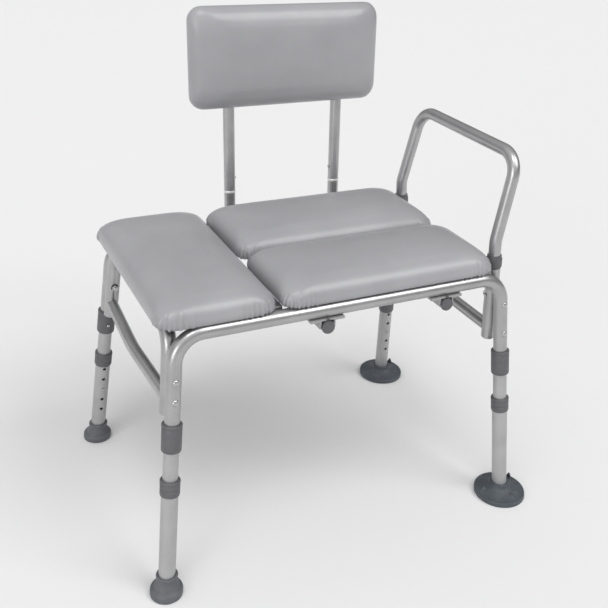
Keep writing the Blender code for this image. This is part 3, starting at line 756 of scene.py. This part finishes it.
def drill(item, seat, facing):
    """Cut a round hole in one side of a piece, from a point on its axis outwards."""
    tool = bpy.data.objects.new("drill", bpy.data.meshes.new("drill"))
    work = bmesh.new()
    bmesh.ops.create_cone(work, cap_ends=True, segments=32, radius1=HOLE_R, radius2=HOLE_R, depth=HOLE_REACH)
    work.to_mesh(tool.data)
    work.free()
    SCENE.collection.objects.link(tool)
    tool.matrix_world = standing(seat + facing * HOLE_REACH / 2, facing, across_from(facing))
    cut = item.modifiers.new("hole", "BOOLEAN")
    cut.solver = "EXACT"
    cut.object = tool
    bpy.context.view_layer.update()
    freeze(item)
    bpy.data.objects.remove(tool, do_unlink=True)
    item.data.shade_smooth()
    item.data.set_sharp_from_angle(angle=math.radians(SHARP_ANGLE))


# ---- frame --------------------------------------------------------------------------------------
def socket_point(face, z):
    return Vector((HALF_WIDTH + SPLAY_X * (RAIL_Z - z) / RAIL_Z + SHIFT_X, face * SOCKET_Y, z))


ARM_UP = Vector((-SPLAY_X, 0.0, RAIL_Z)).normalized()
ARM_INBOARD = Vector((-RAIL_Z, 0.0, -SPLAY_X)).normalized()
ARM_HOLE_FROM = 0.0065      # from the arm tube's axis to where its button hole starts


def make_frame_tubes():
    """The front and back frame tubes, each a rail with two legs, and the side frame between the left legs."""
    for place in ("front", "back"):
        left, right = place + "_left", place + "_right"
        corners = [leg_point(left, FRAME_END), corner_point(left),
                   corner_point(right), leg_point(right, FRAME_END)]
        tube = bent_tube(place + "_frame", rounded_path(corners, FRAME_BEND), FRAME_R, ALUMINIUM)
        attach(tube, "frame", "frame_aluminium", place + "_frame_tube")
    ends = []
    for corner in ("front_left", "back_left"):
        shift = inward(corner) * (2 * FRAME_R + GAP)
        down = leg_direction(corner)
        top = corner_point(corner) + shift
        top -= down * ((top.z - RAIL_Z) / down.z)
        ends.append((leg_point(corner, SIDE_LEG_END) + shift, top))
    path = rounded_path([ends[0][0], ends[0][1], ends[1][1], ends[1][0]], SIDE_BEND)
    attach(bent_tube("side_frame", path, FRAME_R, ALUMINIUM), "frame", "frame_aluminium", "left_side_frame")


def make_armrest():
    """The lift-out armrest and the two sleeves it passes through."""
    path = []
    for face in (-1, 1):
        top = Vector((ARM_TOP[0] + SHIFT_X, face * ARM_TOP[1], ARM_TOP[2]))
        ends = [socket_point(face, ARM_END_Z), socket_point(face, ARM_BEND_Z), top]
        path += ends if face < 0 else ends[::-1]
    rail = bent_tube("armrest", rounded_path(path, ARM_BEND), ARM_R, ALUMINIUM)
    for face in (-1, 1):
        drill(rail, socket_point(face, ARM_BUTTON_Z) + ARM_INBOARD * ARM_HOLE_FROM, ARM_INBOARD)
    attach(rail, "armrest", "frame_aluminium", "armrest_tube")
    low, high = ARM_COLLAR_Z
    for place, face in (("front", -1), ("back", 1)):
        long = (socket_point(face, high) - socket_point(face, low)).length
        step = (socket_point(face, SOCKET_TOP_Z) - socket_point(face, low)).length + GAP
        wide, narrow, outer = FRAME_R + GAP, ARM_R + GAP, ARM_COLLAR_R
        lip = [(narrow, long), (outer - 0.0026, long), (outer - 0.0019, long - 0.0004),
               (outer - 0.0016, long - 0.0012), (outer - 0.0014, long - 0.0052)]
        belly = [(outer - 0.0004, long - 0.0066), (outer, long - 0.0080), (outer, 0.0052),
                 (outer - 0.0003, 0.0030), (outer - 0.0009, 0.0012), (outer - 0.0016, 0.0)]
        bore = [(wide, 0.0), (wide, step), (narrow, step)]
        collar = turned("arm_sleeve_" + place, lip + belly + bore, COLLAR_GREY,
                        standing(socket_point(face, low), ARM_UP))
        attach(collar, "frame", "collar_plastic", "arm_collar_" + place)


def collar_profile(outer, inner, long, groove=None):
    """A moulded sleeve from height 0 down: rounded edges, a step below its mouth and sometimes a groove."""
    edge = 0.0014
    side = outer - 0.0003
    mouth = [(inner, 0.0), (outer - edge, 0.0), (outer - 0.35 * edge, -0.35 * edge), (outer, -edge),
             (outer, -0.0044), (side - 0.0004, -0.0052), (side - 0.0004, -0.0060), (side, -0.0068)]
    waist = []
    if groove:
        floor = side - 0.0007
        waist = [(side, -groove + 0.0018), (floor, -groove + 0.0010),
                 (floor, -groove - 0.0010), (side, -groove - 0.0018)]
    hem = [(side, -long + 2.2 * edge), (side - 0.45 * edge, -long + 0.6 * edge),
           (side - 1.3 * edge, -long), (inner, -long)]
    return mouth + waist + hem


LOWER_GROOVE = 0.0165       # how far below its mouth a lower collar's groove lies
LOWER_BORE_R = 0.0130       # of a lower collar's mouth, in which the upper leg slides


def make_collars():
    """The sleeve at each upper leg's end, with its button's hole, and the one at the lower leg's top."""
    for corner in CORNERS:
        face = inward(corner)
        top, bottom = UPPER_COLLAR
        place = standing(leg_point(corner, top), -leg_direction(corner), face)
        profile = collar_profile(COLLAR_R, FRAME_R + GAP, bottom - top)
        collar = turned("upper_sleeve_" + corner, profile, COLLAR_GREY, place)
        drill(collar, leg_point(corner, UPPER_BUTTON_AT), face)
        attach(collar, "frame", "collar_plastic", "upper_collar_" + corner)
        top, bottom = LOWER_COLLAR
        seat = LOWER_TUBE_TOP - top - GAP
        profile = collar_profile(COLLAR_R, LOWER_R + GAP, bottom - top, LOWER_GROOVE)
        profile[0] = (LOWER_BORE_R, 0.0)
        profile += [(LOWER_R + GAP, -seat), (LOWER_BORE_R, -seat)]
        place = standing(leg_point(corner, top), -leg_direction(corner), face)
        collar = turned("lower_sleeve_" + corner, profile, COLLAR_GREY, place)
        attach(collar, "leg_" + corner, "collar_plastic", "lower_collar_" + corner)


LINER = (0.348, 0.262)      # its stations down the leg
LINER_R = 0.0088


def make_liners():
    """The sprung liner of each leg's buttons, seen through the upper height holes."""
    for corner in CORNERS:
        low, high = (leg_point(corner, station) for station in LINER)
        path = [low, low.lerp(high, 0.5), high]
        liner = bent_tube("button_spring_" + corner, path, LINER_R, PALE_ALUMINIUM)
        attach(liner, "frame", "leg_aluminium")


def leaning(corner):
    """The shear and place of a foot, which follows its leg and stays flat on the floor."""
    side, face = CORNERS[corner]
    shear = Matrix.Identity(4)
    shear[0][2] = -side * SPLAY_X / RAIL_Z
    shear[1][2] = -face * SPLAY_Y / RAIL_Z
    place = Vector((side * (HALF_WIDTH + SPLAY_X) + SHIFT_X, face * (HALF_DEPTH + SPLAY_Y), 0.0))
    return shear, Matrix.Translation(place)


def rubber_tip(corner):
    """A rubber ferrule: a lipped neck that flares to a wide flange with a shallow grooved sole."""
    shear, place = leaning(corner)
    neck = [(FOOT_BORE_R, TIP_HEIGHT), (0.0176, TIP_HEIGHT), (0.0184, 0.0373), (0.0187, 0.0360),
            (0.0185, 0.0345), (0.0181, 0.0335), (0.0182, 0.0280), (0.0186, 0.0255)]
    flare = [(0.0196, 0.0225), (0.0210, 0.0190), (0.0220, 0.0158), (0.0228, 0.0140), (0.0244, 0.0130)]
    flange = [(0.0262, 0.0126), (0.0272, 0.0119), (0.0279, 0.0104), (0.0280, 0.0085), (0.0280, 0.0024),
              (0.0277, 0.0010), (0.0268, 0.0)]
    sole = [(0.0230, 0.0), (0.0222, 0.0008), (0.0180, 0.0008), (0.0172, 0.0), (0.0, 0.0)]
    bore = [(0.0, SOCKET_FLOOR), (FOOT_BORE_R, SOCKET_FLOOR)]
    tip = turned("foot_" + corner, neck + flare + flange + sole + bore, TIP_GREY, place,
                 shape=lambda point, angle: shear @ point)
    attach(tip, "leg_" + corner, "foot_rubber", "rubber_tip_" + corner)


CUP_SIDES = 216
SLOPE_STEPS = 22
LUG_ANGLES = {"front_right": (-78.0, -52.0, 168.0, 60.0), "back_right": (-35.0, 178.0, 205.0, 70.0)}
LUG_AT = 0.0340                     # how far out its middle stands
LUG = (0.0026, 0.0040, 0.0036)      # half width, half length and height of a moulded lug
LUG_BAND = (0.0225, 0.0465)         # the radii between which the saucer's top is free for lugs
SAUCER_UNDER = 0.0042               # the saucer's underside lies below this height
TAB_ANGLE = 30.0
TAB_AT = (0.0435, 0.0062)           # radius and height of the middle of the tab's foot
TAB_HALF = 0.0016                   # half its thickness
TAB_SHAPE = ((-0.0062, 0.0), (0.0062, 0.0), (0.0050, 0.0042), (0.0016, 0.0122), (0.0, 0.0132),
             (-0.0016, 0.0122), (-0.0050, 0.0042))


def suction_cup(corner):
    """A low wide saucer with a short boot, small moulded lugs and an upright release tab near its rim."""
    shear, place = leaning(corner)
    boot = [(0.0, SOCKET_FLOOR), (FOOT_BORE_R, SOCKET_FLOOR), (FOOT_BORE_R, 0.0270), (0.0170, 0.0270),
            (0.0179, 0.0262), (0.0183, 0.0240), (0.0190, 0.0208), (0.0204, 0.0184)]
    slope = [(0.0226 + 0.0238 * t, 0.0166 - 0.0134 * t + 0.0056 * t * t)
             for t in (i / SLOPE_STEPS for i in range(SLOPE_STEPS + 1))]
    rim = [(0.0474, 0.0092), (0.0486, 0.0094), (0.0495, 0.0086), (0.0500, 0.0068), (0.0500, 0.0030)]
    under = [(0.0499, 0.0), (0.0478, 0.0), (0.0440, 0.0030), (0.0300, 0.0040), (0.0, 0.0040)]

    def lugs(point, angle):
        radius = math.hypot(point.x, point.y)
        if LUG_BAND[0] < radius < LUG_BAND[1] and point.z > SAUCER_UNDER:
            for lug in LUG_ANGLES[corner]:
                turn_by = (math.degrees(angle) - lug + 180.0) % 360.0 - 180.0
                away = math.hypot(math.radians(turn_by) * radius / LUG[0], (radius - LUG_AT) / LUG[1])
                point.z += LUG[2] / (1.0 + away ** 8)
        return shear @ point

    work = turn(bmesh.new(), boot + slope + rim + under, CUP_SIDES, lugs)
    angle = math.radians(TAB_ANGLE)
    out = Vector((math.cos(angle), math.sin(angle), 0.0))
    along = Vector((-math.sin(angle), math.cos(angle), 0.0))
    foot = out * TAB_AT[0] + Vector((0.0, 0.0, TAB_AT[1]))
    extrude(work, [[foot + out * depth + along * x + Vector((0.0, 0.0, z)) for x, z in TAB_SHAPE]
                   for depth in (-TAB_HALF, TAB_HALF)])
    cup = add_piece("foot_" + corner, work, CUP_GREY, place)
    attach(cup, "leg_" + corner, "foot_rubber", "suction_cup_" + corner)


def make_feet():
    """Suction cups on the right, rubber tips on the left."""
    for corner, (side, _) in CORNERS.items():
        (suction_cup if side > 0 else rubber_tip)(corner)


# ---- fasteners ----------------------------------------------------------------------------------
DOME = [(0.0, 0.0030), (0.0020, 0.0029), (0.0038, 0.0024), (0.0050, 0.0015), (0.0056, 0.0005),
        (0.0056, -0.0012), (0.0, -0.0012)]
SMALL_DOME = [(0.0, 0.0019), (0.0014, 0.0018), (0.0026, 0.0013), (0.0033, 0.0004), (0.0033, -0.0010),
              (0.0, -0.0010)]
WASHER = [(0.0034, 0.0), (0.0070, 0.0), (0.0072, 0.0003), (0.0072, 0.0010), (0.0069, 0.0013),
          (0.0034, 0.0013)]
NUT = [(0.0, 0.0013), (0.0056, 0.0013), (0.0063, 0.0018), (0.0063, 0.0052), (0.0055, 0.0058),
       (0.0036, 0.0058), (0.0034, 0.0055), (0.0032, 0.0068), (0.0027, 0.0073), (0.0, 0.0073)]
BOLT_R = 0.0050             # what lies further out than this is the nut
WASHER_TOP = 0.00131        # a face whose middle lies lower than this is the washer's
DOME_SINK = 0.0003          # how far a bolt head sinks into its tube
SEAT_SINK = 0.0004          # and a nut or a backrest screw


def dome_head(name, seat, facing, finish=STEEL, body="frame", profile=DOME):
    """A domed bolt, screw or rivet head."""
    head = turned(name, profile, finish, standing(seat, facing, across_from(facing)), 32)
    attach(head, body, "snap_button_steel")


def nut_and_washer(name, seat, facing):
    """A hexagon nut with rounded corners on a dark washer, a bolt's end showing."""
    work = turn(bmesh.new(), WASHER, 40)

    def hexagon(point, angle):
        if math.hypot(point.x, point.y) > BOLT_R:
            flat = math.cos(math.pi / 6) / math.cos((angle % (math.pi / 3)) - math.pi / 6)
            point.x *= flat
            point.y *= flat
        return point

    turn(work, NUT, 48, hexagon)
    item = add_piece(name, work, STEEL, standing(seat, facing, (0.0, 0.0, 1.0)), 25.0)
    item.data.materials.append(DARK_STEEL)
    for face in item.data.polygons:
        face.material_index = 1 if face.center.z < WASHER_TOP else 0
    attach(item, "frame", "snap_button_steel")


LEFT_BOLTS = (0.073, 0.107)         # stations down a left leg
RIGHT_BOLTS = (0.052, 0.1096)
RIGHT_NUT_Z = RAIL_Z - RIGHT_BOLTS[0] * 0.98


def make_fasteners():
    """Two bolt heads on the outer side of each leg, and a nut on the inner side for the upper one."""
    for corner, (side, face) in CORNERS.items():
        out = -inward(corner)
        for index, station in enumerate(LEFT_BOLTS if side < 0 else RIGHT_BOLTS):
            seat = leg_point(corner, station) + out * (FRAME_R - DOME_SINK)
            dome_head(f"leg_bolt_{corner}_{index}", seat, out)
        if side < 0:
            seat = leg_point(corner, LEFT_BOLTS[0]) - out * (3 * FRAME_R + GAP - SEAT_SINK)
            nut_and_washer("leg_nut_" + corner, seat, -out)
        else:
            seat = socket_point(face, RIGHT_NUT_Z) + Vector((0.0, -face * (FRAME_R - SEAT_SINK), 0.0))
            nut_and_washer("leg_nut_" + corner, seat, (0.0, -face, 0.0))


# ---- backrest tubes -----------------------------------------------------------------------------
BACK_UP = Vector((0.0, math.sin(BACK_TILT), math.cos(BACK_TILT)))
BACK_BEHIND = Vector((0.0, math.cos(BACK_TILT), -math.sin(BACK_TILT)))
RAIL_UNDER = RAIL_Z - FRAME_R - GAP
FRONT_SADDLE_Y = -HALF_DEPTH + 0.001
WING_EXTRA = 0.0014         # how much thicker than the plate a saddle's wings look
SADDLE_SCREW = 0.0255       # from a saddle's middle to its screws
SCREW_RISES = (-0.052, 0.052)       # of the backrest's screws from its pad's middle


def saddle(name, x, y):
    """A shallow pressed channel under a rail that holds the tube passing below."""
    wide, deep, thick = BRACKET
    top = RAIL_UNDER
    inner = ARM_R + GAP
    outer = inner + thick
    drop = top - BACK_TUBE_Z + thick
    lip = thick + WING_EXTRA
    outline_points = [(-wide / 2, 0), (wide / 2, 0), (wide / 2, -lip), (outer, -lip), (outer, -drop),
                      (inner, -drop), (inner, -thick), (-inner, -thick), (-inner, -drop), (-outer, -drop),
                      (-outer, -lip), (-wide / 2, -lip)]
    work = bmesh.new()
    extrude(work, [[(x + px, y + depth, top + pz) for px, pz in outline_points]
                   for depth in (-deep / 2, deep / 2)])
    item = add_piece(name, work, PRESSED_PLATE)
    bevel = item.modifiers.new("edges", "BEVEL")
    bevel.width = 0.0007
    bevel.segments = 2
    freeze(item)
    item.data.shade_smooth()
    item.data.set_sharp_from_angle(angle=math.radians(40.0))
    return item


def make_back_fittings():
    """The saddles under the rails with their screws, and each backrest post's screws and ring."""
    for place, side in (("left", -1), ("right", 1)):
        x = BACK_X + side * BACK_HALF
        centre = x + SHIFT_X
        front = saddle("front_saddle_" + place, centre, FRONT_SADDLE_Y)
        attach(front, "frame", "frame_aluminium", "backrest_bracket_" + place)
        attach(saddle("rear_saddle_" + place, centre, HALF_DEPTH), "frame", "frame_aluminium")
        under = RAIL_UNDER - BRACKET[2]
        for y, where in ((FRONT_SADDLE_Y, "front"), (HALF_DEPTH, "rear")):
            for end in (-1, 1):
                name = f"saddle_screw_{where}_{place}_{'left' if end < 0 else 'right'}"
                seat = Vector((centre + end * SADDLE_SCREW, y, under))
                dome_head(name, seat, (0.0, 0.0, -1.0), profile=SMALL_DOME)
        rivet = Vector((centre, FRONT_SADDLE_Y - BRACKET[1] / 2, under + BRACKET[2] / 2))
        dome_head("saddle_rivet_" + place, rivet, (0.0, -1.0, 0.0), DARK_STEEL, profile=SMALL_DOME)
        ring = [(ARM_R - 0.0004, -0.0044), (ARM_R + 0.0004, -0.0040), (ARM_R + 0.0008, -0.0030),
                (ARM_R + 0.0008, -0.0004), (ARM_R + 0.0004, 0.0006), (ARM_R - 0.0006, 0.0008),
                (ARM_R - 0.0006, -0.0044)]
        for number, rise in enumerate(SCREW_RISES):
            seat = back_axis(x, BACK_PAD_Z + rise) + BACK_BEHIND * (ARM_R - SEAT_SINK)
            dome_head(f"back_screw_{place}_{number}", seat, BACK_BEHIND, DARK_STEEL, "backrest", SMALL_DOME)
        band = turned("post_ring_" + place, ring, RING_METAL, standing(back_axis(x, BACK_RING_Z), BACK_UP))
        attach(band, "frame", "snap_button_steel")


make_camera()
make_studio()
dress_nodes()
make_frame_tubes()
make_armrest()
make_collars()
make_liners()
make_feet()
make_fasteners()
make_back_fittings()
make_pads()
